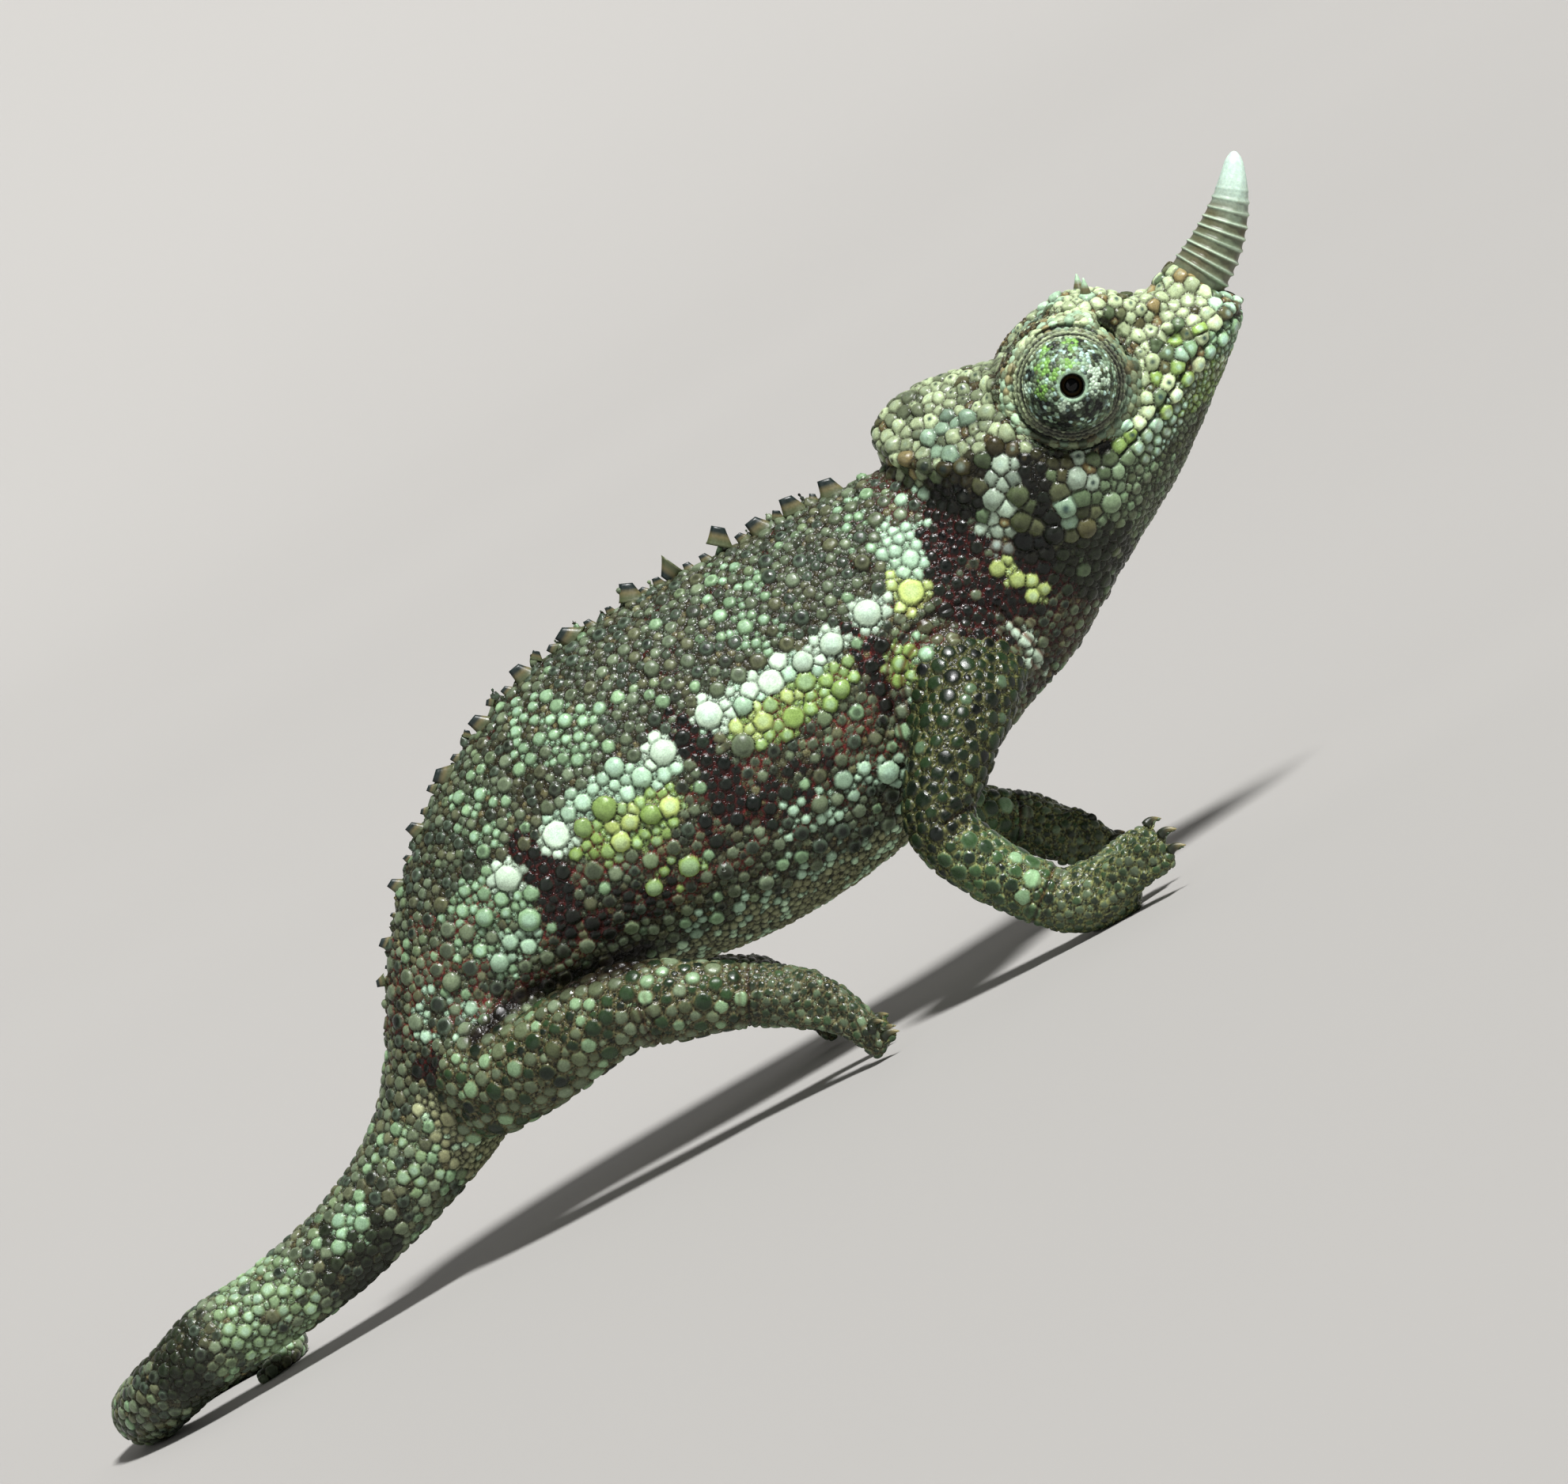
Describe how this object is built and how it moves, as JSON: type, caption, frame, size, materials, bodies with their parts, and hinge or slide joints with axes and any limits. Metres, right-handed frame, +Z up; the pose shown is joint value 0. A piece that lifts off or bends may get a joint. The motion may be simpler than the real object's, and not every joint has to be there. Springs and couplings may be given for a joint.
{
  "type": "chameleon model",
  "caption": "Life-size still model of a one-horned Jackson's chameleon standing on the floor, head raised, tail laid in a flat curl.",
  "frame": {"origin": "centre of the model's box at the level of the floor, z = 0 under the soles and the tail", "axes": "+X towards the head, +Y towards the animal's left side, +Z up"},
  "size_m": [0.1124, 0.033, 0.0413],
  "materials": {
    "skin": "scaly, matt",
    "eyelid": "finely scaled, matt",
    "eye": "wet gloss",
    "horn": "ringed, satin"
  },
  "bodies": {
    "root": {"head": "skin", "lower_jaw": "skin", "neck": "skin", "torso_front": "skin", "torso_rear": "skin", "hips": "skin", "tail_base": "skin", "tail_middle": "skin", "tail_bend": "skin", "tail_curl": "skin", "tail_tip": "skin", "upper_arm_right": "skin", "forearm_right": "skin", "hand_right": "skin", "thigh_right": "skin", "shin_right": "skin", "foot_right": "skin", "upper_arm_left": "skin", "forearm_left": "skin", "hand_left": "skin", "thigh_left": "skin", "shin_left": "skin", "foot_left": "skin", "eye_turret_right": "eyelid", "eyeball_right": "eye", "eye_turret_left": "eyelid", "eyeball_left": "eye", "rostral_horn": "horn"}
  },
  "joints": []
}
